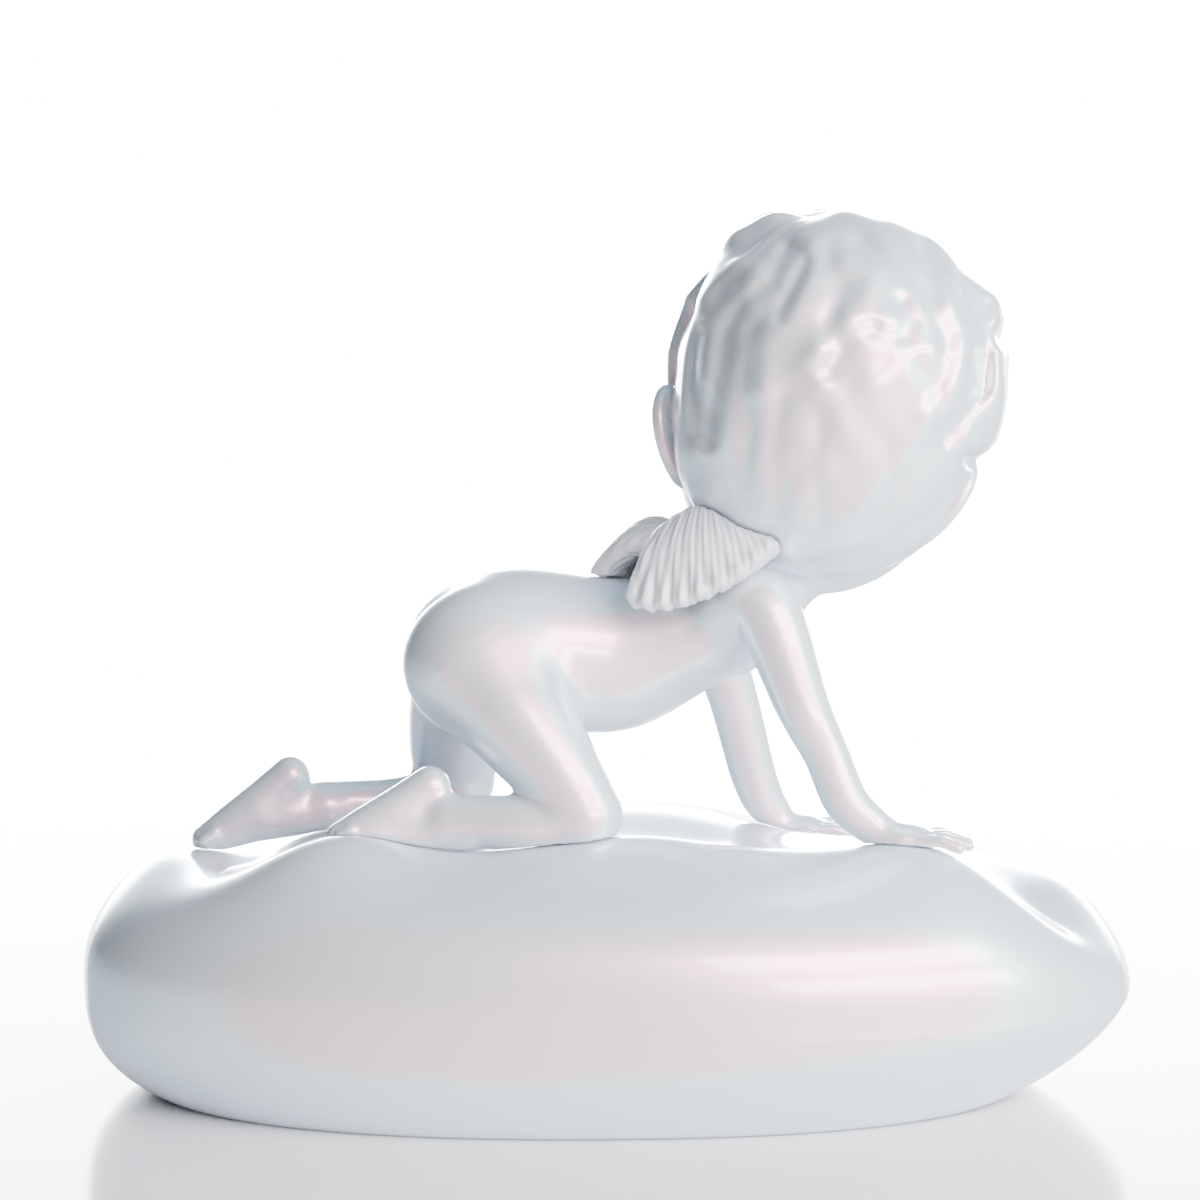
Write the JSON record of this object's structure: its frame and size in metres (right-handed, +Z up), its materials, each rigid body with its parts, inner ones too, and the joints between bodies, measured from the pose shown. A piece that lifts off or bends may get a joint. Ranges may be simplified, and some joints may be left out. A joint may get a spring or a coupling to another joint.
{
  "type": "angel statue",
  "caption": "Table-top statue of a winged cherub with a large head, crawling over a smooth cloud-shaped base, in pearl-white lacquered resin.",
  "frame": {"origin": "middle of the base's flat underside", "axes": "+X along the base, from the figure's feet towards its hands; +Y towards the side that the face looks to; +Z up"},
  "size_m": [0.283, 0.16, 0.2363],
  "materials": {
    "pearl_lacquer": "white pearl lacquer under a glossy clear coat, pink in its highlights with blue-green fringes",
    "wing_white": "white pearl lacquer, satin"
  },
  "bodies": {
    "root": {"cloud_base": "pearl_lacquer", "cherub_figure": "pearl_lacquer", "right_wing": "wing_white", "left_wing": "wing_white"}
  },
  "joints": []
}
